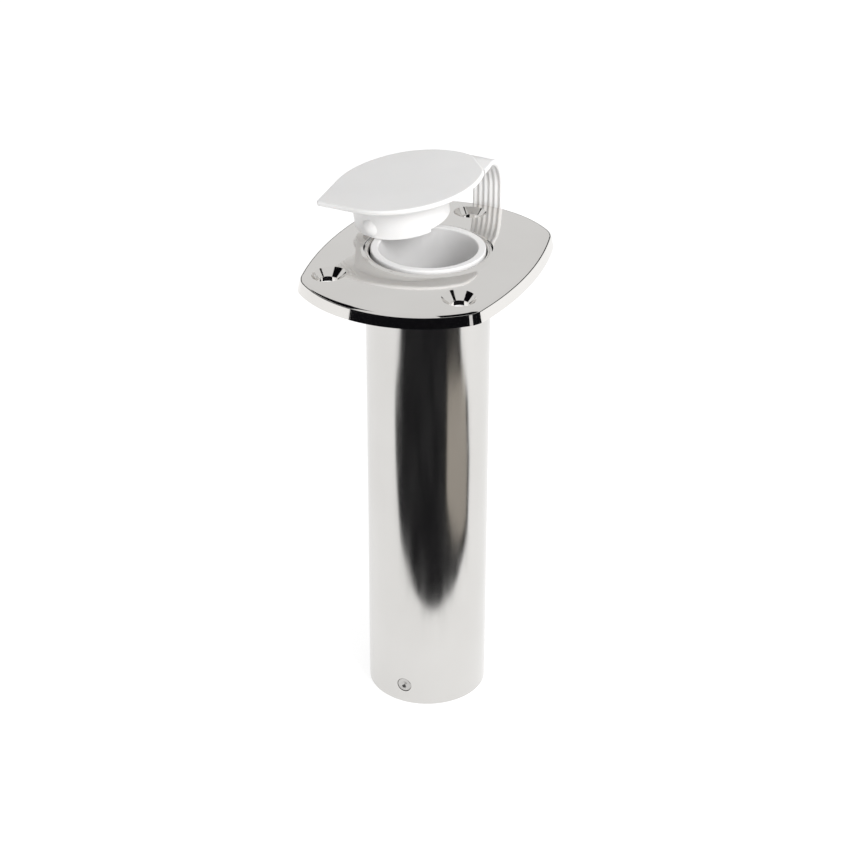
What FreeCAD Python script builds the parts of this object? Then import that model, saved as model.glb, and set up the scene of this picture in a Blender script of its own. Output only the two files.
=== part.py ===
import FreeCAD, Part
import math
import os

# Flush-mount fishing rod holder with a captive cap.
#
# A crowned stainless flange carries a straight tube that hangs below the deck. A
# plastic liner guards the rod, and a cross pin near the tube's foot keys the rod's
# butt. A soft cap hangs on a strap that comes from the gasket under the flange.
#
# Frame: the origin is on the tube's axis in the deck plane, which is the flange's
# underside. +Z points up out of the deck, +Y along the flange's long side towards
# the strap, and +X to the right. Sizes are in millimetres and degrees.

doc = FreeCAD.newDocument("rod_holder")
Vector = FreeCAD.Vector
Placement = FreeCAD.Placement
Rotation = FreeCAD.Rotation

# ---------------------------------------------------------------- driving sizes
SIZES = {
    # flange
    "flange_half_length": 56.8,
    "flange_half_width": 42.9,
    "end_arc_drop": 16.3,
    "side_arc_drop": 5.1,
    "flange_corner": 12.0,
    "flange_flare": 1.3,
    "flange_edge": 5.45,
    "edge_round": 2.0,
    "edge_top_slope": 6.5,
    "crown_rise": 1.85,
    "mouth_radius": 23.75,
    "mouth_round": 1.2,
    "mouth_top": 7.75,
    "lip_slope": 35.0,
    "lip_hollow": 4.0,
    "lip_foot_slope": 12.0,
    "lip_foot": 6.6,
    # screw holes
    "front_hole_side": 28.0,
    "front_hole_back": 35.0,
    "rear_hole_back": 45.0,
    "hole_radius": 4.1,
    "sink_radius": 6.9,
    # gasket and the seat for it under the flange
    "seat_depth": 1.6,
    "seat_margin": 5.0,
    "gasket_gap": 0.25,
    "gasket_bore": 29.0,
    "notch_height": 2.8,
    "notch_gap": 0.7,
    # tube
    "tube_radius": 25.4,
    "tube_wall": 1.5,
    "tube_drop": 197.1,
    "tube_lip": 0.5,
    "bevel_across": 1.0,
    "bevel_down": 1.9,
    "weld_reach": 26.9,
    # liner
    "liner_bore": 20.0,
    "liner_gap": 0.05,
    "rim_radius": 23.3,
    "rim_top": 8.7,
    "rim_round": 0.6,
    "liner_neck": 0.5,
    "liner_drop": 168.0,
    # cross pin
    "pin_radius": 3.2,
    "pin_gap": 0.05,
    "pin_height": 9.0,
    "pin_short": 0.2,
    "dimple_radius": 2.0,
    "dimple_depth": 0.9,
    # cap, in its own frame: origin at the plug's foot, +X towards the tab
    "tab_reach": 34.2,
    "tab_round": 1.5,
    "oval_long": 31.9,
    "oval_wide": 26.4,
    "oval_back": 4.5,
    "tail_reach": 34.5,
    "tail_side": 6.0,
    "tail_round": 8.0,
    "cap_thick": 2.2,
    "cap_edge_round": 0.8,
    "plug_radius": 19.75,
    "plug_tall": 13.8,
    "plug_wall": 3.0,
    "plug_step": 1.2,
    "plug_step_turn": 110.0,
    "bump_turn": 33.0,
    "bump_radius": 4.1,
    "bump_proud": 2.0,
    "bump_height": 4.2,
    "grip_start": 21.5,
    "grip_pitch": 1.8,
    "grip_count": 5,
    "grip_wide": 0.9,
    "grip_deep": 0.35,
    "grip_margin": 2.6,
    # where the cap lies: the foot of its plug, and how it is turned
    "rest_side": -18.95,
    "rest_back": 17.6,
    "rest_height": 11.7,
    "rest_heading": 219.3,
    "rest_tab_down": 7.8,
    "rest_roll": -2.2,
    # strap
    "strap_wide": 13.0,
    "strap_thick": 2.6,
    "strap_side": 1.8,
    "strap_root": 52.0,
    "strap_upright": 60.2,
    "strap_foot_bend": 2.2,
    "strap_over_bend": 15.5,
    "strap_top": 28.9,
    "strap_turn_up": 5.0,
    "strap_turn_end": -18.0,
    "strap_end_back": 32.5,
    "strap_end_side": -2.0,
    "strap_lap_gap": 0.15,
    "rib_depth": 0.55,
    "rib_pitch": 2.25,
    "rib_start": 0.8,
    "rib_count": 6,
}

# Scales of the flange's outline at the levels that shape its crown.
CROWN_SCALES = (0.85, 0.7, 0.55, 0.4)
# Chords that make up the rounding between the flange's sides and its crown.
EDGE_STEPS = 8


def make_sheet():
    """Put every driving size in a spreadsheet, one alias per row."""
    sizes = doc.addObject("Spreadsheet::Sheet", "Sizes")
    for row, (name, value) in enumerate(SIZES.items(), start=1):
        sizes.set("A%d" % row, name)
        sizes.set("B%d" % row, str(value))
        sizes.setAlias("B%d" % row, name)
    doc.recompute()
    return sizes


sheet = make_sheet()


def size(name):
    """One driving size, read from the spreadsheet."""
    return float(sheet.get(name))


def bind(feature, **formulas):
    """Bind a feature's properties to formulas written in the spreadsheet's aliases."""
    for prop, formula in formulas.items():
        words = ["Sizes." + word if word in SIZES else word for word in formula.split()]
        feature.setExpression(prop, " ".join(words))
    return feature


# ------------------------------------------------------------- building blocks
def cylinder(name, radius, height, placement):
    """A cylinder standing on its placement, its sizes bound to the sheet."""
    tool = doc.addObject("Part::Cylinder", name)
    bind(tool, Radius=radius, Height=height)
    tool.Placement = placement
    return tool


def cut(name, base, tool):
    """One object cut by another."""
    result = doc.addObject("Part::Cut", name)
    result.Base = base
    result.Tool = tool
    doc.recompute()
    return result


def fuse(name, pieces):
    """Several objects joined into one."""
    result = doc.addObject("Part::MultiFuse", name)
    result.Shapes = pieces
    doc.recompute()
    return result


def loft(name, sections, ruled):
    """A solid skin through closed sections, straight between them when ruled."""
    skin = doc.addObject("Part::Loft", name)
    skin.Sections = sections
    skin.Solid = True
    skin.Ruled = ruled
    skin.MaxDegree = 3
    doc.recompute()
    return skin


def section(name, geometry, placement):
    """A sketch standing free in space."""
    sketch = doc.addObject("Sketcher::SketchObject", name)
    sketch.addGeometry(geometry, False)
    sketch.Placement = placement
    return sketch


def body_with_sketch(name, plane, geometry):
    """A body with one sketch on an origin plane of its own."""
    body = doc.addObject("PartDesign::Body", name)
    doc.recompute()
    support = next(item for item in body.Origin.OriginFeatures if item.Role == plane)
    sketch = body.newObject("Sketcher::SketchObject", name + "_sketch")
    sketch.AttachmentSupport = [(support, "")]
    sketch.MapMode = "FlatFace"
    sketch.addGeometry(geometry, False)
    doc.recompute()
    return body, sketch


def turned(name, geometry, placement=Placement()):
    """A body made by turning a half section a full turn about its own Z axis."""
    body, sketch = body_with_sketch(name, "XZ_Plane", geometry)
    solid = body.newObject("PartDesign::Revolution", name + "_turned")
    solid.Profile = sketch
    solid.ReferenceAxis = (sketch, ["V_Axis"])
    solid.Angle = 360.0
    body.Placement = placement
    doc.recompute()
    return body


def padded(name, geometry, height, placement=Placement()):
    """A body made by padding an outline upward."""
    body, sketch = body_with_sketch(name, "XY_Plane", geometry)
    solid = body.newObject("PartDesign::Pad", name + "_pad")
    solid.Profile = sketch
    bind(solid, Length=height)
    body.Placement = placement
    doc.recompute()
    return body


def flat(point):
    """A sketch point from a pair of numbers."""
    return Vector(point[0], point[1], 0)


def segment(start, finish):
    """A straight edge between two pairs of numbers."""
    return Part.LineSegment(flat(start), flat(finish))


def polygon(points):
    """Straight edges that join the points in order and close on the first."""
    return [segment(start, finish) for start, finish in zip(points, points[1:] + points[:1])]


def arc_about(centre, radius, start, finish):
    """A round arc, counter-clockwise between two angles in radians."""
    circle = Part.Circle(flat(centre), Vector(0, 0, 1), radius)
    return Part.ArcOfCircle(circle, start, finish)


# --------------------------------------------------------------------- flange
def flange_outline(scale=1.0, outset=0.0):
    """Arcs of the flange's outline: four bulging sides and four round corners.

    Each side is one arc that falls by its drop at the corners. A corner arc
    touches both of its neighbours from the inside. Scaling keeps the outline's
    shape, and an outset moves it outward by an even distance.
    """
    corner_x = size("flange_half_width") - size("side_arc_drop")
    corner_y = size("flange_half_length") - size("end_arc_drop")
    end_radius = (corner_x ** 2 + size("end_arc_drop") ** 2) / (2 * size("end_arc_drop"))
    side_radius = (corner_y ** 2 + size("side_arc_drop") ** 2) / (2 * size("side_arc_drop"))
    end_centre = Vector(0, size("flange_half_length") - end_radius, 0)
    side_centre = Vector(size("flange_half_width") - side_radius, 0, 0)
    corner = size("flange_corner")
    centre = inner_touch(end_centre, end_radius - corner, side_centre, side_radius - corner)
    to_end = math.atan2(centre.y - end_centre.y, centre.x - end_centre.x)
    to_side = math.atan2(centre.y - side_centre.y, centre.x - side_centre.x)
    arcs = []
    for flip in (1, -1):
        spin = 0.0 if flip == 1 else math.pi
        for spot, radius, start, finish in (
                ((0, end_centre.y), end_radius, to_end, math.pi - to_end),
                ((side_centre.x, 0), side_radius, -to_side, to_side),
                ((centre.x, centre.y), corner, to_side, to_end),
                ((-centre.x, centre.y), corner, math.pi - to_end, math.pi - to_side)):
            middle = (flip * scale * spot[0], flip * scale * spot[1])
            arcs.append(arc_about(middle, scale * radius + outset, start + spin, finish + spin))
    return arcs


def inner_touch(first, first_radius, second, second_radius):
    """Where two circles about the given centres cross, furthest out to the right and back."""
    way = second - first
    along = (way.Length ** 2 + first_radius ** 2 - second_radius ** 2) / (2 * way.Length)
    across = math.sqrt(first_radius ** 2 - along ** 2)
    ahead = Vector(way).normalize()
    aside = Vector(-ahead.y, ahead.x, 0)
    crossings = [first + ahead * along + aside * (across * side) for side in (1, -1)]
    return max(crossings, key=lambda point: point.x + point.y)


def make_flange():
    """The flange: flared sides, crown, raised mouth, three sunk holes, gasket seat and notch."""
    edge = size("flange_edge")
    foot = section("flange_foot", flange_outline(outset=size("flange_flare")), Placement())
    edges = edge_sections()
    levels = [edges[-1]]
    for number, scale in enumerate(CROWN_SCALES, start=1):
        level = edge + size("crown_rise") * (1 - scale ** 3)
        levels.append(section("crown_level_%d" % number, flange_outline(scale=scale),
                              Placement(Vector(0, 0, level), Rotation())))
    doc.recompute()
    sides = loft("flange_sides", [foot] + edges, True)
    crown = loft("flange_crown", levels, False)
    blank = fuse("flange_blank", [sides, crown, make_mouth_lip()])
    cutters = [make_mouth_cutter(), make_seat_cutter(), make_notch_cutter()]
    for number, place in enumerate(hole_places(), start=1):
        cutters.append(make_screw_cutter(number, place, blank))
    flange = cut("flange_plate", blank, fuse("flange_cutters", cutters))
    return flange


def edge_sections():
    """Outlines up the rounding that joins the flared sides to the crown."""
    radius = size("edge_round")
    lean = math.atan2(size("flange_flare"), size("flange_edge"))
    slope = math.radians(size("edge_top_slope"))
    spread = math.cos(lean) * math.cos(slope) - math.sin(lean) * math.sin(slope)
    inward = radius * (math.cos(slope) - math.sin(lean)) / spread
    down = radius * (math.cos(lean) - math.sin(slope)) / spread
    outlines = []
    for step in range(EDGE_STEPS + 1):
        angle = lean + (math.pi / 2 - slope - lean) * step / EDGE_STEPS
        level = size("flange_edge") - down + radius * math.sin(angle)
        outline = flange_outline(outset=radius * math.cos(angle) - inward)
        outlines.append(section("flange_edge_%d" % (step + 1), outline,
                                Placement(Vector(0, 0, level), Rotation())))
    return outlines


def make_mouth_lip():
    """The raised ring round the mouth: its back rounds over, then sweeps out into the crown."""
    soft = size("mouth_round")
    steep = math.radians(size("lip_slope"))
    shallow = math.radians(size("lip_foot_slope"))
    hollow = size("lip_hollow")
    foot = size("lip_foot")
    inner = size("mouth_radius") - 1
    top = size("mouth_top")
    round_centre = (size("mouth_radius") + soft, top - soft)
    span = soft + hollow
    hollow_centre = (round_centre[0] + span * math.sin(steep), round_centre[1] + span * math.cos(steep))
    turn_out = (round_centre[0] + soft * math.sin(steep), round_centre[1] + soft * math.cos(steep))
    run_out = (hollow_centre[0] - hollow * math.sin(shallow), hollow_centre[1] - hollow * math.cos(shallow))
    end = (run_out[0] + (run_out[1] - foot) / math.tan(shallow), foot)
    edges = [segment((inner, 4), (inner, top)), segment((inner, top), (round_centre[0], top)),
             arc_about(round_centre, soft, math.pi / 2 - steep, math.pi / 2),
             arc_about(hollow_centre, hollow, 1.5 * math.pi - steep, 1.5 * math.pi - shallow),
             segment(run_out, end), segment(end, (end[0], 4)), segment((end[0], 4), (inner, 4))]
    return turned("mouth_lip", edges)


def make_mouth_cutter():
    """The round mouth, with a rounded edge at the lip's top."""
    mouth = size("mouth_radius")
    lip = size("mouth_round")
    top = size("mouth_top")
    edges = [segment((0, -5), (mouth, -5)), segment((mouth, -5), (mouth, top - lip)),
             arc_about((mouth + lip, top - lip), lip, math.pi / 2, math.pi),
             segment((mouth + lip, top), (mouth + lip, 20)),
             segment((mouth + lip, 20), (0, 20)), segment((0, 20), (0, -5))]
    return turned("mouth_cutter", edges)


def hole_places():
    """Centres of the two front screw holes and the rear one."""
    side = size("front_hole_side")
    front = -size("front_hole_back")
    return [(-side, front), (side, front), (0.0, size("rear_hole_back"))]


def make_screw_cutter(number, place, blank):
    """A through hole with a right-angled countersink that starts at the crown."""
    upright = Part.makeLine(Vector(*place, -1), Vector(*place, 20))
    surface = blank.Shape.common(upright).BoundBox.ZMax
    depth = size("sink_radius") - size("hole_radius")
    shank = cylinder("shank_cutter_%d" % number, "hole_radius", "20",
                     Placement(Vector(*place, -5), Rotation()))
    sink = doc.addObject("Part::Cone", "sink_cutter_%d" % number)
    bind(sink, Radius1="hole_radius", Radius2="sink_radius + 3", Height="sink_radius + 3 - hole_radius")
    sink.Placement = Placement(Vector(*place, surface - depth), Rotation())
    return fuse("screw_cutter_%d" % number, [shank, sink])


def make_seat_cutter():
    """The shallow seat in the underside that takes the gasket."""
    return padded("seat_cutter", flange_outline(outset=-size("seat_margin")), "seat_depth")


def make_notch_cutter():
    """The notch in the rear lip that lets the strap out from the gasket."""
    notch = doc.addObject("Part::Box", "notch_cutter")
    bind(notch, Length="strap_wide + 2 * notch_gap", Width="20", Height="notch_height")
    left = size("strap_side") - size("strap_wide") / 2 - size("notch_gap")
    notch.Placement = Placement(Vector(left, size("strap_root") - 1, 0), Rotation())
    return notch


# ------------------------------------------------------- tube, weld and pin
def make_tube():
    """The straight tube: eased foot, head bevelled for the weld, wall drilled for the pin."""
    outer = size("tube_radius")
    inner = outer - size("tube_wall")
    foot = -size("tube_drop")
    lip = size("tube_lip")
    head = size("seat_depth")
    wall = turned("tube_wall_ring", polygon([
        (inner, foot + lip), (inner + lip, foot), (outer - lip, foot),
        (outer, foot + lip), (outer, head - size("bevel_down")),
        (outer - size("bevel_across"), head), (inner, head)]))
    drill = cylinder("pin_drill", "pin_radius + pin_gap", "80",
                     Placement(Vector(0, 40, foot + size("pin_height")), Rotation(Vector(1, 0, 0), 90)))
    return cut("holder_tube", wall, drill)


def make_weld():
    """The weld in the tube's bevel, drawn out under the flange, inside the gasket's bore."""
    outer = size("tube_radius")
    head = size("seat_depth")
    root = (outer - size("bevel_across"), head)
    toe = (outer - 0.1 * size("bevel_across"), head - 0.9 * size("bevel_down"))
    return turned("weld_bead", polygon([root, toe, (size("weld_reach"), head)]))


def make_pin():
    """The cross pin, just short of the tube's outside, with a punched dimple in each end."""
    reach = size("tube_radius") - size("pin_short")
    radius = size("pin_radius")
    dimple = size("dimple_radius")
    depth = size("dimple_depth")
    ease = 0.3
    points = [(0, depth - reach), (dimple, -reach), (radius - ease, -reach), (radius, ease - reach),
              (radius, reach - ease), (radius - ease, reach), (dimple, reach), (0, reach - depth)]
    spot = Vector(0, 0, size("pin_height") - size("tube_drop"))
    return turned("gimbal_pin", polygon(points), Placement(spot, Rotation(Vector(1, 0, 0), 90)))


# ---------------------------------------------------------------------- liner
def make_liner():
    """The liner: a close sleeve in the tube and a round-edged rim above the flange."""
    bore = size("liner_bore")
    rim = size("rim_radius")
    top = size("rim_top")
    soft = size("rim_round")
    sleeve = size("tube_radius") - size("tube_wall") - size("liner_gap")
    foot = -size("liner_drop")
    neck = -size("liner_neck")
    edges = [segment((bore, top - soft), (bore, foot + 1.0)), segment((bore, foot + 1.0), (bore + 1.0, foot)),
             segment((bore + 1.0, foot), (sleeve - 0.6, foot)),
             segment((sleeve - 0.6, foot), (sleeve, foot + 0.6)),
             segment((sleeve, foot + 0.6), (sleeve, neck - 0.6)), segment((sleeve, neck - 0.6), (rim, neck)),
             segment((rim, neck), (rim, top - soft)),
             arc_about((rim - soft, top - soft), soft, 0, math.pi / 2),
             segment((rim - soft, top), (bore + soft, top)),
             arc_about((bore + soft, top - soft), soft, math.pi / 2, math.pi)]
    return turned("tube_liner", edges)


# --------------------------------------------------------------------- gasket
def make_gasket():
    """The soft gasket in its seat, cleared for the tube, the weld and the screws."""
    inset = size("seat_margin") + size("gasket_gap")
    blank = padded("gasket_blank", flange_outline(outset=-inset), "seat_depth")
    cutters = [cylinder("gasket_bore_cutter", "gasket_bore", "10", Placement(Vector(0, 0, -2), Rotation()))]
    for number, place in enumerate(hole_places(), start=1):
        cutters.append(cylinder("gasket_hole_%d" % number, "hole_radius", "10",
                                Placement(Vector(*place, -2), Rotation())))
    return cut("deck_gasket", blank, fuse("gasket_cutters", cutters))


# ------------------------------------------------------------------------ cap
def rest_placement():
    """Where the cap's own frame lies when the cap rests beside the mouth."""
    foot = Vector(size("rest_side"), size("rest_back"), size("rest_height"))
    return Placement(foot, Rotation(size("rest_heading"), size("rest_tab_down"), size("rest_roll")))


def cap_local(x, y, z, rotation=Rotation()):
    """A placement given in the cap's own frame."""
    return rest_placement().multiply(Placement(Vector(x, y, z), rotation))


def oval_point(angle):
    """A point on the cap's oval and the outward normal there."""
    point = Vector(size("oval_long") * math.cos(angle) - size("oval_back"),
                   size("oval_wide") * math.sin(angle), 0)
    normal = Vector(size("oval_wide") * math.cos(angle), size("oval_long") * math.sin(angle), 0)
    return point, normal.normalize()


def solve(function, low, high):
    """The place between low and high where a function changes sign."""
    rising = function(high) > 0
    for _ in range(60):
        middle = (low + high) / 2
        if (function(middle) > 0) == rising:
            high = middle
        else:
            low = middle
    return (low + high) / 2


def tab_flank():
    """The tab's straight flank: its angle on the oval, the normal, and its two ends."""
    tip = size("tab_round")
    tip_centre = Vector(size("tab_reach") - tip, 0, 0)

    def tab_miss(angle):
        point, normal = oval_point(angle)
        return (point - tip_centre).dot(normal) - tip

    tab_angle = solve(tab_miss, math.radians(10), math.radians(85))
    shoulder, normal = oval_point(tab_angle)
    return tab_angle, normal, shoulder, tip_centre + normal * tip


def cap_outline():
    """The cap's outline: half an oval drawn out to a pointed tab, and a squarer tail.

    Behind the oval's widest place each flank is one arc, which runs on into the
    tail's round corner.
    """
    tip = size("tab_round")
    wide = size("oval_wide")
    corner = size("tail_round")
    corner_x = corner - size("tail_reach")
    corner_y = size("tail_side")
    crest_x = -size("oval_back")
    tab_angle, normal, shoulder, tip_touch = tab_flank()
    tip_turn = math.atan2(normal.y, normal.x)
    run = crest_x - corner_x
    fall = wide - corner_y
    flank = (run ** 2 + fall ** 2 - corner ** 2) / (2 * (fall - corner))
    flank_turn = math.atan2(flank - fall, -run)
    oval = Part.Ellipse(Vector(crest_x, 0, 0), size("oval_long"), wide)
    return [arc_about((size("tab_reach") - tip, 0), tip, -tip_turn, tip_turn),
            segment((tip_touch.x, tip_touch.y), (shoulder.x, shoulder.y)),
            segment((tip_touch.x, -tip_touch.y), (shoulder.x, -shoulder.y)),
            Part.ArcOfEllipse(oval, tab_angle, math.pi / 2),
            Part.ArcOfEllipse(oval, -math.pi / 2, -tab_angle),
            arc_about((crest_x, wide - flank), flank, math.pi / 2, flank_turn),
            arc_about((crest_x, flank - wide), flank, -flank_turn, -math.pi / 2),
            arc_about((corner_x, corner_y), corner, flank_turn, math.pi),
            arc_about((corner_x, -corner_y), corner, math.pi, 2 * math.pi - flank_turn),
            segment((corner_x - corner, corner_y), (corner_x - corner, -corner_y))]


def make_cap_top():
    """The cap's flat top, its edges rounded all the way round."""
    top = padded("cap_top", cap_outline(), "cap_thick", cap_local(0, 0, size("plug_tall")))
    slab = top.Tip
    ends = ["Face%d" % number for number, face in enumerate(slab.Shape.Faces, start=1)
            if abs(face.normalAt(0, 0).z) > 0.99]
    rounded = top.newObject("PartDesign::Fillet", "cap_top_edges")
    rounded.Base = (slab, ends)
    bind(rounded, Radius="cap_edge_round")
    doc.recompute()
    return top


def make_grip_ribs():
    """Finger ribs across the underside of the tab, each as long as the tab is wide there."""
    _, _, shoulder, tip_touch = tab_flank()
    ribs = []
    for number in range(int(size("grip_count"))):
        place = size("grip_start") + number * size("grip_pitch")
        along = (place - shoulder.x) / (tip_touch.x - shoulder.x)
        half = shoulder.y + along * (tip_touch.y - shoulder.y) - size("grip_margin")
        rib = doc.addObject("Part::Box", "grip_rib_%d" % (number + 1))
        bind(rib, Length="grip_wide", Height="grip_deep + 0.4")
        rib.Width = 2 * half
        rib.Placement = cap_local(place, -half, size("plug_tall") - size("grip_deep"))
        ribs.append(rib)
    return ribs


def make_cap():
    """The cap: its top, ribs under the tab, and a hollow plug with two bumps and a shorter rear skirt."""
    wall = cylinder("plug_wall_blank", "plug_radius", "plug_tall + 0.5", cap_local(0, 0, 0))
    bumps = []
    for number, side in enumerate((1, -1), start=1):
        bump = doc.addObject("Part::Sphere", "grip_bump_%d" % number)
        bind(bump, Radius="bump_radius")
        turn = side * math.radians(size("bump_turn"))
        reach = size("plug_radius") + size("bump_proud") - size("bump_radius")
        bump.Placement = cap_local(reach * math.cos(turn), reach * math.sin(turn), size("bump_height"))
        bumps.append(bump)
    hollow = cylinder("plug_hollow", "plug_radius - plug_wall", "plug_tall + 1", cap_local(0, 0, -1))
    step = cylinder("skirt_step", "plug_radius + 5", "plug_step + 5",
                    cap_local(0, 0, -5, Rotation(size("plug_step_turn"), 0, 0)))
    bind(step, Angle="360 - 2 * plug_step_turn")
    plug = cut("plug", fuse("plug_blank", [wall] + bumps), fuse("plug_cutters", [hollow, step]))
    return fuse("bore_cap", [make_cap_top(), plug] + make_grip_ribs())


# ---------------------------------------------------------------------- strap
def strap_profile():
    """The strap's cross section: a flat back, and lengthwise ribs on its inner face."""
    half_wide = size("strap_wide") / 2
    half_thick = size("strap_thick") / 2
    valley = size("rib_depth") - half_thick
    pitch = size("rib_pitch")
    crest = pitch * 0.14
    slope = pitch * 0.18
    points = [(half_wide, valley), (half_wide, half_thick), (-half_wide, half_thick), (-half_wide, valley)]
    for number in range(int(size("rib_count"))):
        middle = size("rib_start") - half_wide + pitch * number
        points += [(middle - crest - slope, valley), (middle - crest, -half_thick),
                   (middle + crest, -half_thick), (middle + crest + slope, valley)]
    return points


def strap_stations():
    """Centre, direction and sideways turn of the strap at places along its length."""
    side = size("strap_side")
    upright = size("strap_upright")
    low = size("strap_foot_bend")
    high = size("strap_over_bend")
    floor = size("strap_thick") / 2 + 0.05
    bend_start = size("strap_top") - high
    turn_up = size("strap_turn_up")
    turn_end = size("strap_turn_end")
    end = cap_local(-size("strap_end_back"), size("strap_end_side"),
                    size("plug_tall") - size("strap_thick") / 2 - size("strap_lap_gap"))
    stations = [(Vector(side, size("strap_root"), floor), Vector(0, 1, 0), 0.0)]
    for angle in range(0, 91, 18):
        around = math.radians(angle)
        point = Vector(side, upright - low + low * math.sin(around), floor + low - low * math.cos(around))
        stations.append((point, Vector(0, math.cos(around), math.sin(around)), turn_up * angle / 90))
    for angle in range(0, 89, 11):
        around = math.radians(angle)
        back = upright - high + high * math.cos(around)
        drift = ((upright - back) / (upright - end.Base.y)) ** 2
        point = Vector(side + drift * (end.Base.x - side), back, bend_start + high * math.sin(around))
        turn = turn_up + (turn_end - turn_up) * (upright - back) / (upright - end.Base.y)
        stations.append((point, Vector(0, -math.sin(around), math.cos(around)), turn))
    return stations, end


def make_strap():
    """The strap: out of the notch, up behind the flange, and over to lie under the cap's tail."""
    stations, end = strap_stations()
    outline = polygon(strap_profile())
    sections = []
    for number, (point, direction, turn) in enumerate(stations, start=1):
        sideways = Vector(math.cos(math.radians(turn)), math.sin(math.radians(turn)), 0)
        frame = Rotation(sideways, Vector(), direction, "XZY")
        sections.append(section("strap_section_%d" % number, outline, Placement(point, frame)))
    cap_up = end.Rotation.multVec(Vector(0, 0, 1))
    last_turn = math.radians(size("strap_turn_end"))
    sideways = Vector(math.cos(last_turn), math.sin(last_turn), 0)
    frame = Rotation(sideways, cap_up, Vector(), "YXZ")
    sections.append(section("strap_section_end", outline, Placement(end.Base, frame)))
    doc.recompute()
    return loft("cap_strap", sections, True)


# ------------------------------------------------------------- build and write
def check_document():
    """Stop if any object failed to build, or if any shape is missing or broken."""
    for item in doc.Objects:
        if "Invalid" in item.State or "Error" in item.State:
            raise RuntimeError("%s did not build: %s" % (item.Label, item.State))
        shape = getattr(item, "Shape", None)
        if shape is not None and (shape.isNull() or not shape.isValid()):
            raise RuntimeError("%s has a missing or broken shape" % item.Label)


def write_parts(pieces):
    """Write one STEP file for each physical piece."""
    os.makedirs("parts", exist_ok=True)
    for piece in pieces:
        if len(piece.Shape.Solids) != 1:
            raise RuntimeError("%s is %d solids" % (piece.Label, len(piece.Shape.Solids)))
        piece.Shape.exportStep("parts/%s.step" % piece.Label)
        box = piece.Shape.BoundBox
        print("%-14s %9.1f mm3  x %.2f..%.2f  y %.2f..%.2f  z %.2f..%.2f" % (
            piece.Label, piece.Shape.Volume, box.XMin, box.XMax, box.YMin, box.YMax, box.ZMin, box.ZMax))


pieces = [make_flange(), make_tube(), make_weld(), make_liner(), make_pin(), make_gasket(),
          make_strap(), make_cap()]
doc.recompute()
check_document()
write_parts(pieces)
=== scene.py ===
import math

import bpy
from mathutils import Matrix, Vector


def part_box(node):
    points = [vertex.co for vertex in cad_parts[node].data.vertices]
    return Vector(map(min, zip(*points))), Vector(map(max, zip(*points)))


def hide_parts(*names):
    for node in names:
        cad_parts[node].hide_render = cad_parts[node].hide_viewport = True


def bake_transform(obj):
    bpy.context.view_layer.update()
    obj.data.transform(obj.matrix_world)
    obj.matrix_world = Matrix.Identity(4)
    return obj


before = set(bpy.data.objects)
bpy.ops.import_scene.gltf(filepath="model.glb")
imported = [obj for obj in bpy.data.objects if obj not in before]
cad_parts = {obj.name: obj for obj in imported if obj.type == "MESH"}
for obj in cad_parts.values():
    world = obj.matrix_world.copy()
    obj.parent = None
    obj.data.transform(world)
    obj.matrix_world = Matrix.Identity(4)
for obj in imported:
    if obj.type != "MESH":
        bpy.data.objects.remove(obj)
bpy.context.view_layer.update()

# A flush-mount rod holder of polished steel with a soft white cap, on a plain pale floor.
#
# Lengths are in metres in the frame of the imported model: the origin is on the tube's
# axis at the flange's underside, +Z is up, and +Y runs towards the strap.

MM = 0.001

FLOOR_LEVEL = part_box("holder_tube")[0].z

# The flange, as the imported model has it.
HALF_LENGTH = 56.8 * MM
HALF_WIDTH = 42.9 * MM
END_DROP = 16.3 * MM
SIDE_DROP = 5.1 * MM
CORNER = 12.0 * MM
EDGE_LEVEL = 5.45 * MM
CROWN_RISE = 1.85 * MM
EDGE_INWARD = 1.620 * MM
EDGE_DOWN = 1.828 * MM
SIDE_LEAN = math.atan2(1.3, 5.45)
MOUTH_RADIUS = 23.75 * MM
MOUTH_TOP = 7.75 * MM
MOUTH_ROUND = 1.2 * MM
LIP_SLOPE = math.radians(35)
LIP_HOLLOW = 4.0 * MM
LIP_FOOT_SLOPE = math.radians(12)
HOLES = [Vector((-28, -35)) * MM, Vector((28, -35)) * MM, Vector((0, 45)) * MM]
SINK_RADIUS = 6.9 * MM

# The cap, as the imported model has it.
CAP_PLACE = (Matrix.Translation(Vector((-18.95, 17.6, 11.7)) * MM)
             @ Matrix.Rotation(math.radians(219.3), 4, "Z")
             @ Matrix.Rotation(math.radians(7.8), 4, "Y")
             @ Matrix.Rotation(math.radians(-2.2), 4, "X"))
PLUG_RADIUS = 19.75 * MM
PLUG_TALL = 13.8 * MM
PLUG_WALL = 3.0 * MM
NUB_TURN = math.radians(33)
NUB_RADIUS = 4.1 * MM
NUB_REACH = PLUG_RADIUS + 2.0 * MM - NUB_RADIUS
NUB_HEIGHT = 4.2 * MM

# The strap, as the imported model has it.
STRAP_WIDE = 13.0 * MM
STRAP_THICK = 2.6 * MM
STRAP_SIDE = 1.8 * MM
STRAP_ROOT = 52.0 * MM
STRAP_UPRIGHT = 60.2 * MM
STRAP_FOOT_BEND = 2.2 * MM
STRAP_OVER_BEND = 15.5 * MM
STRAP_TOP = 28.9 * MM
STRAP_TURN_UP = math.radians(5.0)
STRAP_TURN_END = math.radians(-18.0)
STRAP_END = Vector((3.7, 38.1, 28.41)) * MM
STRAP_END_UP = Vector((-0.0806, -0.1156, 0.9900))
RIB_DEPTH = 0.55 * MM
RIB_PITCH = 2.25 * MM
RIB_START = 0.8 * MM
RIB_COUNT = 6
STRAP_CORNER = 0.55 * MM
STRAP_SEAM = 20.5 * MM


# ------------------------------------------------------------------ materials
def new_material(name):
    """An empty material with a Principled shader; gives its node tree and that shader."""
    material = bpy.data.materials.new(name)
    material.use_nodes = True
    tree = material.node_tree
    return material, tree, tree.nodes["Principled BSDF"]


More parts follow.
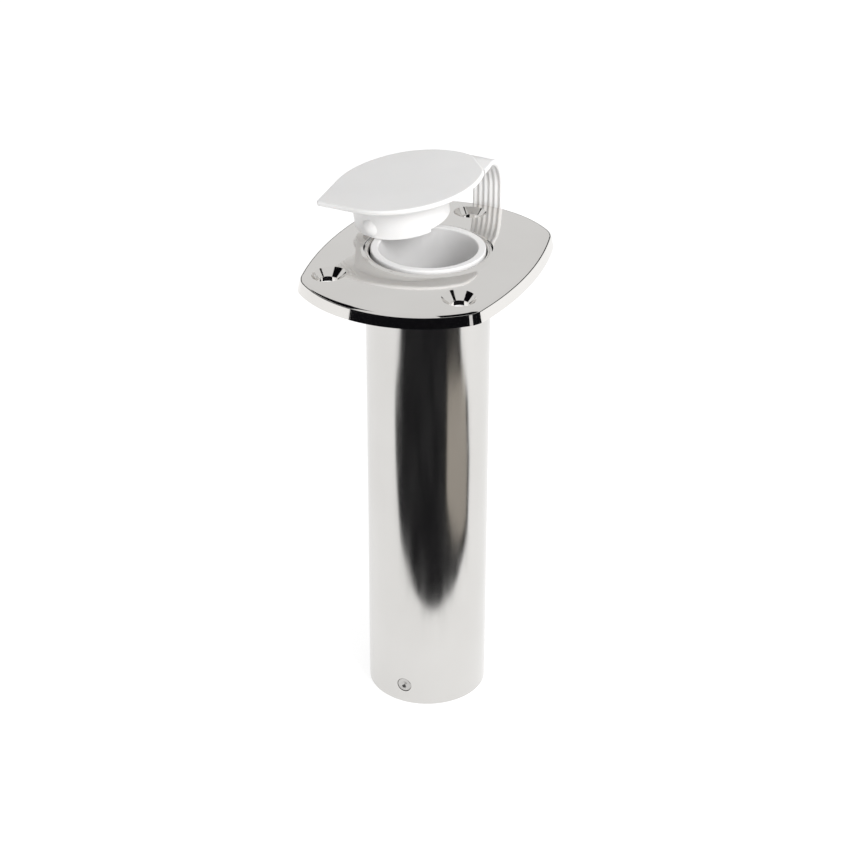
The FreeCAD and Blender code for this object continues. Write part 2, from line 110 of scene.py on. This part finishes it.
def add(tree, kind, **settings):
    """A node of a kind; a setting names a property, or an input socket by its label."""
    node = tree.nodes.new(kind)
    for name, value in settings.items():
        if hasattr(node, name):
            setattr(node, name, value)
        else:
            node.inputs[name.replace("_", " ")].default_value = value
    return node


def object_place(tree, stretch):
    """Places on the object, in metres, stretched along each axis."""
    place = add(tree, "ShaderNodeTexCoord")
    mapping = add(tree, "ShaderNodeMapping", Scale=stretch)
    tree.links.new(place.outputs["Object"], mapping.inputs["Vector"])
    return mapping.outputs["Vector"]


def noise(tree, place, scale, detail=3.0, roughness=0.5):
    """Smooth noise over a place."""
    node = add(tree, "ShaderNodeTexNoise", Scale=scale, Detail=detail, Roughness=roughness)
    tree.links.new(place, node.inputs["Vector"])
    return node.outputs["Fac"]


def spread(tree, value, low, high, start=0.0, finish=1.0):
    """A value carried from one range to another."""
    node = add(tree, "ShaderNodeMapRange")
    for label, number in (("From Min", start), ("From Max", finish), ("To Min", low), ("To Max", high)):
        node.inputs[label].default_value = number
    tree.links.new(value, node.inputs["Value"])
    return node.outputs["Result"]


def tint(tree, value, dark, light):
    """A colour between two, by a value."""
    node = add(tree, "ShaderNodeMix", data_type="RGBA")
    node.inputs["A"].default_value = (*dark, 1)
    node.inputs["B"].default_value = (*light, 1)
    tree.links.new(value, node.inputs["Factor"])
    return node.outputs["Result"]


def bump(tree, shader, height, strength, distance):
    """A raised and sunk surface from a height."""
    node = add(tree, "ShaderNodeBump", Strength=strength, Distance=distance)
    tree.links.new(height, node.inputs["Height"])
    tree.links.new(node.outputs["Normal"], shader.inputs["Normal"])


def mirror_steel():
    """Buffed stainless steel: a mirror with a faint orange-peel wave and hairline polishing marks."""
    material, tree, shader = new_material("mirror_steel")
    shader.inputs["Metallic"].default_value = 1.0
    wave = noise(tree, object_place(tree, (1, 1, 1)), 60.0, 1.0)
    hair = noise(tree, object_place(tree, (1, 14, 14)), 420.0, 4.0, 0.6)
    cloud = noise(tree, object_place(tree, (1, 1, 1)), 35.0, 2.0)
    colour = tint(tree, cloud, (0.72, 0.703, 0.68), (0.78, 0.766, 0.745))
    tree.links.new(colour, shader.inputs["Base Color"])
    tree.links.new(spread(tree, hair, 0.035, 0.10, 0.3, 0.75), shader.inputs["Roughness"])
    bump(tree, shader, wave, 0.05, 0.2 * MM)
    return material


def satin_steel():
    """Drawn tube, lightly polished: fine grain along its length that softens reflections."""
    material, tree, shader = new_material("satin_steel")
    shader.inputs["Metallic"].default_value = 1.0
    grain = noise(tree, object_place(tree, (1, 1, 0.03)), 1500.0, 4.0, 0.65)
    streak = noise(tree, object_place(tree, (1, 1, 0.12)), 210.0, 3.0)
    cloud = noise(tree, object_place(tree, (1, 1, 1)), 25.0, 3.0)
    colour = tint(tree, cloud, (0.60, 0.588, 0.57), (0.67, 0.66, 0.645))
    tree.links.new(colour, shader.inputs["Base Color"])
    tree.links.new(spread(tree, streak, 0.11, 0.19, 0.3, 0.7), shader.inputs["Roughness"])
    bump(tree, shader, grain, 0.12, 0.05 * MM)
    return material


def weld_steel():
    """Dull weld metal with straw and grey heat tints."""
    material, tree, shader = new_material("weld_steel")
    shader.inputs["Metallic"].default_value = 1.0
    place = object_place(tree, (1, 1, 1))
    colour = tint(tree, noise(tree, place, 160.0), (0.30, 0.27, 0.24), (0.58, 0.54, 0.48))
    tree.links.new(colour, shader.inputs["Base Color"])
    tree.links.new(spread(tree, noise(tree, place, 500.0), 0.28, 0.5), shader.inputs["Roughness"])
    bump(tree, shader, noise(tree, place, 900.0, 4.0), 0.35, 0.1 * MM)
    return material


def turned_steel():
    """Plain bar stock with fine turning marks."""
    material, tree, shader = new_material("turned_steel")
    shader.inputs["Metallic"].default_value = 1.0
    marks = noise(tree, object_place(tree, (1, 40, 1)), 300.0, 3.0)
    colour = tint(tree, marks, (0.42, 0.41, 0.40), (0.60, 0.59, 0.575))
    tree.links.new(colour, shader.inputs["Base Color"])
    tree.links.new(spread(tree, marks, 0.16, 0.32), shader.inputs["Roughness"])
    bump(tree, shader, marks, 0.15, 0.05 * MM)
    return material


def moulded_white(name, dark, light, rough, soft):
    """White moulding: a fine matt grain, slow changes in tone and a little light let through."""
    material, tree, shader = new_material(name)
    shader.inputs["Subsurface Weight"].default_value = soft
    shader.inputs["Subsurface Radius"].default_value = (1.0, 0.9, 0.8)
    shader.inputs["Subsurface Scale"].default_value = 2.0 * MM
    shader.inputs["IOR"].default_value = 1.48
    place = object_place(tree, (1, 1, 1))
    tree.links.new(tint(tree, noise(tree, place, 45.0), dark, light), shader.inputs["Base Color"])
    fine = noise(tree, place, 2600.0, 2.0, 0.6)
    tree.links.new(spread(tree, fine, rough - 0.05, rough + 0.07), shader.inputs["Roughness"])
    bump(tree, shader, fine, 0.10, 0.04 * MM)
    return material


def plain(name, colour, roughness, glow=0.0):
    """A plain surface for the stage, without sheen, which may glow a little."""
    material, _, shader = new_material(name)
    shader.inputs["Specular IOR Level"].default_value = 0.0
    shader.inputs["Base Color"].default_value = (*colour, 1)
    shader.inputs["Roughness"].default_value = roughness
    shader.inputs["Emission Color"].default_value = (1, 1, 1, 1)
    shader.inputs["Emission Strength"].default_value = glow
    return material


# --------------------------------------------------------------- mesh helpers
def mesh_object(name, verts, faces, material, smooth=True):
    """A mesh object from points and faces."""
    mesh = bpy.data.meshes.new(name)
    mesh.from_pydata([tuple(point) for point in verts], [], faces)
    mesh.validate()
    mesh.update()
    mesh.materials.append(material)
    mesh.polygons.foreach_set("use_smooth", [smooth] * len(mesh.polygons))
    piece = bpy.data.objects.new(name, mesh)
    bpy.context.scene.collection.objects.link(piece)
    return piece


def swept(name, rings, material):
    """A closed solid skin through rings of points, with flat ends."""
    count = len(rings[0])
    verts = [point for ring in rings for point in ring]
    faces = []
    for row in range(len(rings) - 1):
        for column in range(count):
            after = (column + 1) % count
            faces.append((row * count + column, row * count + after,
                          (row + 1) * count + after, (row + 1) * count + column))
    faces.append(tuple(reversed(range(count))))
    faces.append(tuple(range((len(rings) - 1) * count, len(rings) * count)))
    return mesh_object(name, verts, faces, material)


def shade_by_angle(piece, degrees):
    """Smooth shading, with a crease wherever faces meet at more than an angle."""
    mesh = piece.data
    mesh.polygons.foreach_set("use_smooth", [True] * len(mesh.polygons))
    mesh.set_sharp_from_angle(angle=math.radians(degrees))


def dress(node, material, surface=None, crease=30.0):
    """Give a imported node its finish, and at every corner the normal of the true surface.

    The surface function gives the true normal at a point on a face, or None. Where
    it gives none, the normal is the mean of the faces that meet there within the crease.
    """
    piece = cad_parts[node]
    mesh = piece.data
    mesh.materials.clear()
    mesh.materials.append(material)
    to_row = piece.matrix_world
    turn = to_row.to_3x3()
    back = turn.inverted()
    places = [to_row @ vertex.co for vertex in mesh.vertices]
    facing = [(turn @ face.normal).normalized() for face in mesh.polygons]
    keys = [tuple(round(value / SAME_SPOT) for value in place) for place in places]
    around = {}
    for face in mesh.polygons:
        for vertex in face.vertices:
            around.setdefault(keys[vertex], []).append((facing[face.index], face.area))
    limit = math.cos(math.radians(crease))
    normals = []
    for face in mesh.polygons:
        own = facing[face.index]
        middle = sum((places[vertex] for vertex in face.vertices), Vector()) / len(face.vertices)
        for vertex in face.vertices:
            true = surface(places[vertex], own, middle) if surface else None
            if true is None or true.dot(own) < 0.9:
                true = Vector()
                for normal, area in around[keys[vertex]]:
                    if normal.dot(own) > limit:
                        true += normal * math.sqrt(area)
                true = true.normalized() if true.length > 0 else own
            normals.append((back @ true).normalized())
    mesh.polygons.foreach_set("use_smooth", [True] * len(mesh.polygons))
    mesh.normals_split_custom_set(normals)
    return piece


# -------------------------------------------------------------- true surfaces
NEAR = 0.03 * MM
SAME_SPOT = 0.002 * MM


def outline_arcs():
    """The arcs of one quarter of the flange's outline: (centre, radius) of end, side and corner."""
    corner_x = HALF_WIDTH - SIDE_DROP
    corner_y = HALF_LENGTH - END_DROP
    end_radius = (corner_x ** 2 + END_DROP ** 2) / (2 * END_DROP)
    side_radius = (corner_y ** 2 + SIDE_DROP ** 2) / (2 * SIDE_DROP)
    end = Vector((0, HALF_LENGTH - end_radius))
    side = Vector((HALF_WIDTH - side_radius, 0))
    way = side - end
    first = end_radius - CORNER
    second = side_radius - CORNER
    along = (way.length_squared + first ** 2 - second ** 2) / (2 * way.length)
    across = math.sqrt(first ** 2 - along ** 2)
    ahead = way.normalized()
    aside = Vector((-ahead.y, ahead.x))
    corner = max((end + ahead * along + aside * across, end + ahead * along - aside * across),
                 key=lambda point: point.x + point.y)
    return (end, end_radius), (side, side_radius), (corner, CORNER)


END_ARC, SIDE_ARC, CORNER_ARC = outline_arcs()
TO_END = CORNER_ARC[0] - END_ARC[0]
TO_SIDE = CORNER_ARC[0] - SIDE_ARC[0]
TOUCH_END = CORNER_ARC[0] + TO_END.normalized() * CORNER
TOUCH_SIDE = CORNER_ARC[0] + TO_SIDE.normalized() * CORNER


def outline_scale(x, y):
    """The scale at which the flange's outline runs through a point."""
    point = Vector((abs(x), abs(y)))
    turn = math.atan2(point.y, point.x)
    if turn > math.atan2(TOUCH_END.y, TOUCH_END.x):
        centre, radius = END_ARC
    elif turn < math.atan2(TOUCH_SIDE.y, TOUCH_SIDE.x):
        centre, radius = SIDE_ARC
    else:
        centre, radius = CORNER_ARC
    ahead = point.normalized()
    along = ahead.dot(centre)
    reach = along + math.sqrt(along ** 2 - centre.length_squared + radius ** 2)
    return point.length / reach


def crown_normal(x, y):
    """The crown's normal above a point."""
    step = 0.01 * MM
    scale = outline_scale(x, y)
    slope_x = (outline_scale(x + step, y) - outline_scale(x - step, y)) / (2 * step)
    slope_y = (outline_scale(x, y + step) - outline_scale(x, y - step)) / (2 * step)
    steep = 3 * CROWN_RISE * scale ** 2
    return Vector((steep * slope_x, steep * slope_y, 1)).normalized()


def outline_offset(x, y):
    """How far a point lies outside the flange's outline, and the outline's normal there."""
    point = Vector((abs(x), abs(y)))
    from_corner = point - CORNER_ARC[0]
    turn = math.atan2(from_corner.y, from_corner.x)
    if turn > math.atan2(TO_END.y, TO_END.x):
        centre, radius = END_ARC
    elif turn < math.atan2(TO_SIDE.y, TO_SIDE.x):
        centre, radius = SIDE_ARC
    else:
        centre, radius = CORNER_ARC
    out = point - centre
    normal = out.normalized()
    return out.length - radius, Vector((math.copysign(normal.x, x), math.copysign(normal.y, y), 0))


def flange_surface(point, own, middle):
    """The true normal on the flange: crown, edge, sides, raised mouth, holes and countersinks."""
    for hole in HOLES:
        off = point.xy - hole
        if (middle.xy - hole).length < SINK_RADIUS + 0.6 * MM and off.length > 0:
            inward = -off.normalized()
            if abs(own.z) < 0.2:
                return Vector((inward.x, inward.y, 0))
            if 0.5 < own.z < 0.9:
                return Vector((inward.x, inward.y, 1)).normalized()
    reach = point.xy.length
    outward = Vector((point.x, point.y, 0)).normalized()
    if middle.xy.length < MOUTH_RADIUS + 5 * MM and own.z > -0.5:
        return mouth_normal(reach, point.z, outward, own)
    if own.z < -0.5:
        return Vector((0, 0, -1))
    offset, normal = outline_offset(point.x, point.y)
    if own.z > 0.985 and outline_offset(middle.x, middle.y)[0] < -EDGE_INWARD:
        return crown_normal(point.x, point.y)
    if own.z > 0.26 and offset > -2 * MM:
        across = offset + EDGE_INWARD
        above = point.z - EDGE_LEVEL + EDGE_DOWN
        return (normal * across + Vector((0, 0, above))).normalized()
    if own.z > 0.15 and offset > -1 * MM:
        return (normal * math.cos(SIDE_LEAN) + Vector((0, 0, math.sin(SIDE_LEAN)))).normalized()
    return None


def mouth_normal(reach, level, outward, own):
    """The true normal on the raised mouth, a distance from the middle at a level."""
    round_reach = MOUTH_RADIUS + MOUTH_ROUND
    round_level = MOUTH_TOP - MOUTH_ROUND
    if abs(own.z) < 0.05:
        return -outward
    if reach < round_reach + MOUTH_ROUND * math.sin(LIP_SLOPE) + 0.01 * MM:
        return (outward * (reach - round_reach) + Vector((0, 0, level - round_level))).normalized()
    hollow_reach = round_reach + (MOUTH_ROUND + LIP_HOLLOW) * math.sin(LIP_SLOPE)
    hollow_level = round_level + (MOUTH_ROUND + LIP_HOLLOW) * math.cos(LIP_SLOPE)
    leans_out = own.dot(outward)
    if leans_out > math.sin(LIP_FOOT_SLOPE) + 0.012:
        return (outward * (hollow_reach - reach) + Vector((0, 0, hollow_level - level))).normalized()
    if leans_out > 0.16:
        return outward * math.sin(LIP_FOOT_SLOPE) + Vector((0, 0, math.cos(LIP_FOOT_SLOPE)))
    return crown_normal(outward.x * reach, outward.y * reach)


def round_surface(point, own, middle):
    """The true normal on a part turned about the tube's axis."""
    outward = Vector((point.x, point.y, 0)).normalized()
    lean = own.dot(Vector((middle.x, middle.y, 0)).normalized())
    if abs(own.z) > 0.999:
        return Vector((0, 0, math.copysign(1, own.z)))
    if abs(own.z) < 0.01 and abs(lean) > 0.98:
        return outward * math.copysign(1, lean)
    return None


def cap_surface(point, own, middle):
    """The true normal on the cap's plug, its hollow and its nubs."""
    back = CAP_PLACE.inverted()
    spot = back @ point
    centre = back @ middle
    facing = back.to_3x3() @ own
    turn = CAP_PLACE.to_3x3()
    for side in (1, -1):
        nub = Vector((NUB_REACH * math.cos(NUB_TURN), side * NUB_REACH * math.sin(NUB_TURN), NUB_HEIGHT))
        if abs((spot - nub).length - NUB_RADIUS) < NEAR and centre.xy.length > PLUG_RADIUS + NEAR:
            return (turn @ (spot - nub)).normalized()
    outward = Vector((spot.x, spot.y, 0)).normalized()
    if abs(facing.z) > 0.999:
        return turn @ Vector((0, 0, math.copysign(1, facing.z)))
    if abs(facing.z) < 0.01 and spot.z < PLUG_TALL + 0.1 * MM and centre.xy.length < PLUG_RADIUS + 0.05 * MM:
        if spot.xy.length > PLUG_RADIUS - 0.3 * MM:
            return turn @ outward
        if centre.xy.length < PLUG_RADIUS - PLUG_WALL + 0.1 * MM:
            return -(turn @ outward)
    return None


# ---------------------------------------------------------------------- strap
def strap_profile():
    """Points round the strap's cross section: (sideways, outward), ribbed on the inner side."""
    half_wide = STRAP_WIDE / 2
    half_thick = STRAP_THICK / 2
    soft = STRAP_CORNER
    points = []
    for centre, start in ((half_wide - soft, 0), (soft - half_wide, 90)):
        for turn in range(start, start + 91, 18):
            angle = math.radians(turn)
            points.append((centre + soft * math.cos(angle), half_thick - soft + soft * math.sin(angle)))
    steps = 104
    for step in range(steps + 1):
        side = -half_wide + STRAP_WIDE * step / steps
        place = (side + half_wide - RIB_START) / RIB_PITCH
        near = place - round(place)
        on_rib = -0.5 < place < RIB_COUNT - 0.5
        height = math.cos(near * math.pi) ** 2.2 if on_rib else 0.0
        edge = min(1.0, (half_wide - abs(side)) / soft)
        sunk = soft * (1 - math.sqrt(1 - (1 - edge) ** 2))
        points.append((side, -half_thick + RIB_DEPTH * (1 - height) + sunk))
    return points


def strap_line():
    """Places along the strap's middle: (point, direction, sideways turn)."""
    floor = STRAP_THICK / 2 + 0.05 * MM
    low = STRAP_FOOT_BEND
    high = STRAP_OVER_BEND
    bend_start = STRAP_TOP - high
    line = []
    for part in (0.0, 0.33, 0.66):
        back = STRAP_ROOT + part * (STRAP_UPRIGHT - low - STRAP_ROOT)
        line.append((Vector((STRAP_SIDE, back, floor)), Vector((0, 1, 0)), 0.0))
    for turn in range(0, 91, 10):
        angle = math.radians(turn)
        point = Vector((STRAP_SIDE, STRAP_UPRIGHT - low + low * math.sin(angle),
                        floor + low - low * math.cos(angle)))
        line.append((point, Vector((0, math.cos(angle), math.sin(angle))), STRAP_TURN_UP * turn / 90))
    for part in range(1, 10):
        level = floor + low + part / 10 * (bend_start - floor - low)
        line.append((Vector((STRAP_SIDE, STRAP_UPRIGHT, level)), Vector((0, 0, 1)), STRAP_TURN_UP))
    span = STRAP_UPRIGHT - STRAP_END.y
    for turn in range(0, 86, 5):
        angle = math.radians(turn)
        back = STRAP_UPRIGHT - high + high * math.cos(angle)
        part = (STRAP_UPRIGHT - back) / span
        point = Vector((STRAP_SIDE + part ** 2 * (STRAP_END.x - STRAP_SIDE), back,
                        bend_start + high * math.sin(angle)))
        turned = STRAP_TURN_UP + (STRAP_TURN_END - STRAP_TURN_UP) * part
        line.append((point, Vector((0, -math.sin(angle), math.cos(angle))), turned))
    return line


def strap_rings():
    """Rings of points along the strap, from its root to its end under the cap."""
    frames = []
    for point, direction, turn in strap_line():
        sideways = Vector((math.cos(turn), math.sin(turn), 0))
        sideways = (sideways - direction * sideways.dot(direction)).normalized()
        frames.append((point, sideways, direction.cross(sideways)))
    last_point, last_sideways, last_up = frames[-1]
    end_sideways = Vector((math.cos(STRAP_TURN_END), math.sin(STRAP_TURN_END), 0))
    end_sideways = (end_sideways - STRAP_END_UP * end_sideways.dot(STRAP_END_UP)).normalized()
    for step in range(1, 9):
        part = step / 8
        frames.append((last_point.lerp(STRAP_END, part), last_sideways.lerp(end_sideways, part).normalized(),
                       last_up.lerp(STRAP_END_UP, part).normalized()))
    profile = strap_profile()
    return [[point + sideways * across + outward * out for across, out in profile]
            for point, sideways, outward in frames]


def make_strap(material):
    """The ribbed strap in two lengths: one bends at the flange, the other twists at the cap."""
    rings = strap_rings()
    seam = next(number for number, ring in enumerate(rings)
                if sum(point.z for point in ring) / len(ring) > STRAP_SEAM)
    lower = swept("strap_lower", rings[:seam + 1], material)
    upper = swept("strap_upper", rings[seam:], material)
    for piece in (lower, upper):
        shade_by_angle(piece, 50)
        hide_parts("cap_strap")
    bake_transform(lower)
    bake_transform(upper)


# ---------------------------------------------------------------------- stage
FLOOR_REACH = 4.0
RING_REACH = 2.2
RING_LEVELS = (0.03, 0.42)
CARD_REACH = 1.35
SCREEN_LEVELS = (FLOOR_LEVEL, 0.06)
FLAG_LEVELS = (0.35, 2.2)

# Near edges of the cloths on the floor: (degrees to the right of the front, distance).
CLOTH_EDGE = ((-50, 0.375), (-62, 0.31), (-60, 0.235), (-49, 0.157), (-34, 0.131), (-12, 0.107), (10, 0.100),
              (32, 0.107), (62, 0.131), (78, 0.157), (82, 0.235), (78, 0.30), (60, 0.375))
TAUPE_EDGE = ((36, 0.33), (34, 0.2), (44, 0.165), (62, 0.155), (74, 0.17), (77, 0.235), (72, 0.3))


def make_stage():
    """A wide pale floor, and the black cards that the steel and the soft parts see."""
    corners = [(FLOOR_REACH * x, FLOOR_REACH * y, 0) for x, y in ((-1, -1), (1, -1), (1, 1), (-1, 1))]
    paper = plain("floor_paper", (0.3, 0.3, 0.3), 0.9, 0.85)
    floor = mesh_object("floor", corners, [(0, 1, 2, 3)], paper, smooth=False)
    floor.location.z = FLOOR_LEVEL
    black = plain("black_card", (0.004, 0.004, 0.005), 1.0)
    facing = math.radians(CAMERA_AZIMUTH)
    front = Vector((math.sin(facing), -math.cos(facing), 0))
    side = Vector((math.cos(facing), math.sin(facing), 0))
    taupe = plain("taupe_card", (0.36, 0.33, 0.29), 1.0)
    reflected = [make_cloth("black_cloth", front, side, CLOTH_EDGE, 1.4, 0.5 * MM, black),
                 make_cloth("taupe_cloth", front, side, TAUPE_EDGE, 0.33, 1.0 * MM, taupe),
                 make_ring(black),
                 curved_card("front_screen", -62, 39, SCREEN_LEVELS, black),
                 curved_card("right_screen", 50, 82, SCREEN_LEVELS, black),
                 curved_card("left_flag", -112, -62, FLAG_LEVELS, black),
                 curved_card("right_flag", 14, 78, FLAG_LEVELS, black)]
    for item in reflected:
        item.visible_camera = False
        item.visible_diffuse = False
        item.visible_shadow = False
    shade = make_shade(black)
    shade.visible_camera = False
    shade.visible_glossy = False


def make_cloth(name, front, side, near_edge, far, lift, material):
    """A cloth on the floor before the holder, from its near edge out to a far arc."""
    edge = []
    for degrees, near in near_edge:
        angle = math.radians(degrees)
        edge.append(front * near * math.cos(angle) + side * near * math.sin(angle))
    first, last = near_edge[0][0], near_edge[-1][0]
    for step in range(13):
        angle = math.radians(last + (first - last) * step / 12)
        edge.append(front * far * math.cos(angle) + side * far * math.sin(angle))
    verts = [(point.x, point.y, FLOOR_LEVEL + lift) for point in edge]
    return mesh_object(name, verts, [tuple(range(len(verts)))], material, smooth=False)


def make_ring(black):
    """A low black band all round, just above the holder's horizon."""
    steps = 72
    verts = []
    for step in range(steps):
        angle = 2 * math.pi * step / steps
        for level in RING_LEVELS:
            verts.append((RING_REACH * math.cos(angle), RING_REACH * math.sin(angle), level))
    faces = [(2 * step, 2 * ((step + 1) % steps), 2 * ((step + 1) % steps) + 1, 2 * step + 1)
             for step in range(steps)]
    return mesh_object("black_ring", verts, faces, black, smooth=False)


def curved_card(name, start, finish, levels, black):
    """An upright black card on an arc, between two angles to the right of the front and two levels."""
    steps = 24
    verts = []
    for step in range(steps + 1):
        angle = math.radians(CAMERA_AZIMUTH + start + (finish - start) * step / steps)
        for level in levels:
            verts.append((CARD_REACH * math.sin(angle), -CARD_REACH * math.cos(angle), level))
    faces = [(2 * step, 2 * step + 2, 2 * step + 3, 2 * step + 1) for step in range(steps)]
    return mesh_object(name, verts, faces, black, smooth=False)


def make_shade(black):
    """A dark card on the left that keeps the light from that side off the soft parts."""
    corners = [(-0.5, -0.7, 0.05), (-0.5, 1.0, 0.05), (-0.3, 1.0, 0.9), (-0.3, -0.7, 0.9)]
    return mesh_object("dark_side", corners, [(0, 1, 2, 3)], black, smooth=False)


def area_light(name, place, target, width, height, power):
    """A soft rectangular light that faces a target."""
    data = bpy.data.lights.new(name, "AREA")
    data.shape = "RECTANGLE"
    data.size = width
    data.size_y = height
    data.energy = power
    light = bpy.data.objects.new(name, data)
    light.location = place
    light.rotation_euler = (Vector(target) - Vector(place)).to_track_quat("-Z", "Y").to_euler()
    light.visible_camera = False
    light.visible_glossy = False
    bpy.context.scene.collection.objects.link(light)
    return light


def make_lights():
    """White surroundings, a soft light high on the right, a low one in front, and the flange's own bounce."""
    world = bpy.data.worlds.new("studio")
    world.use_nodes = True
    sky = world.node_tree.nodes["Background"]
    sky.inputs["Color"].default_value = (1, 1, 1, 1)
    sky.inputs["Strength"].default_value = 0.8
    bpy.context.scene.world = world
    area_light("key", (1.0, -0.55, 0.9), (0, 0, 0), 0.6, 0.6, 14.0)
    area_light("fill", (0.62, -0.75, 0.12), (0, 0, 0), 0.5, 0.3, 2.2)
    bounce = Vector((-12, 8, 8.8)) * MM
    area_light("bounce", bounce, bounce + Vector((0, 0, 1)), 60 * MM, 50 * MM, 0.004)


# --------------------------------------------------------------------- camera
CAMERA_AZIMUTH = 23.05
CAMERA_DISTANCE = 0.8253
CAMERA_HEIGHT = 0.3757
CAMERA_PITCH = math.radians(28.51)
CAMERA_YAW = math.radians(0.08)
CAMERA_ROLL = math.radians(0.10)
CAMERA_LENS = 95.12


def make_camera():
    """The camera: to the right of the front and above, looking down at the tube."""
    data = bpy.data.cameras.new("camera")
    data.lens = CAMERA_LENS
    data.sensor_width = 36.0
    data.clip_start = 0.01
    data.clip_end = 50
    camera = bpy.data.objects.new("camera", data)
    around = math.radians(CAMERA_AZIMUTH)
    camera.location = (CAMERA_DISTANCE * math.sin(around), -CAMERA_DISTANCE * math.cos(around), CAMERA_HEIGHT)
    heading = Matrix.Rotation(around + CAMERA_YAW, 4, "Z")
    tilt = Matrix.Rotation(math.pi / 2 - CAMERA_PITCH, 4, "X")
    roll = Matrix.Rotation(CAMERA_ROLL, 4, "Z")
    camera.rotation_euler = (heading @ tilt @ roll).to_euler()
    bpy.context.scene.collection.objects.link(camera)
    bpy.context.scene.camera = camera


# ---------------------------------------------------------------------- build
soft_white = moulded_white("soft_white", (0.75, 0.745, 0.74), (0.81, 0.805, 0.80), 0.42, 0.12)
liner_white = moulded_white("liner_white", (0.73, 0.725, 0.725), (0.79, 0.785, 0.78), 0.36, 0.05)
dress("flange_plate", mirror_steel(), flange_surface)
dress("holder_tube", satin_steel(), round_surface)
dress("weld_bead", weld_steel())
dress("gimbal_pin", turned_steel())
dress("tube_liner", liner_white, round_surface)
dress("deck_gasket", soft_white)
dress("bore_cap", soft_white, cap_surface, 38)
make_strap(soft_white)
make_camera()
make_stage()
make_lights()
bpy.context.scene.view_settings.view_transform = "Standard"
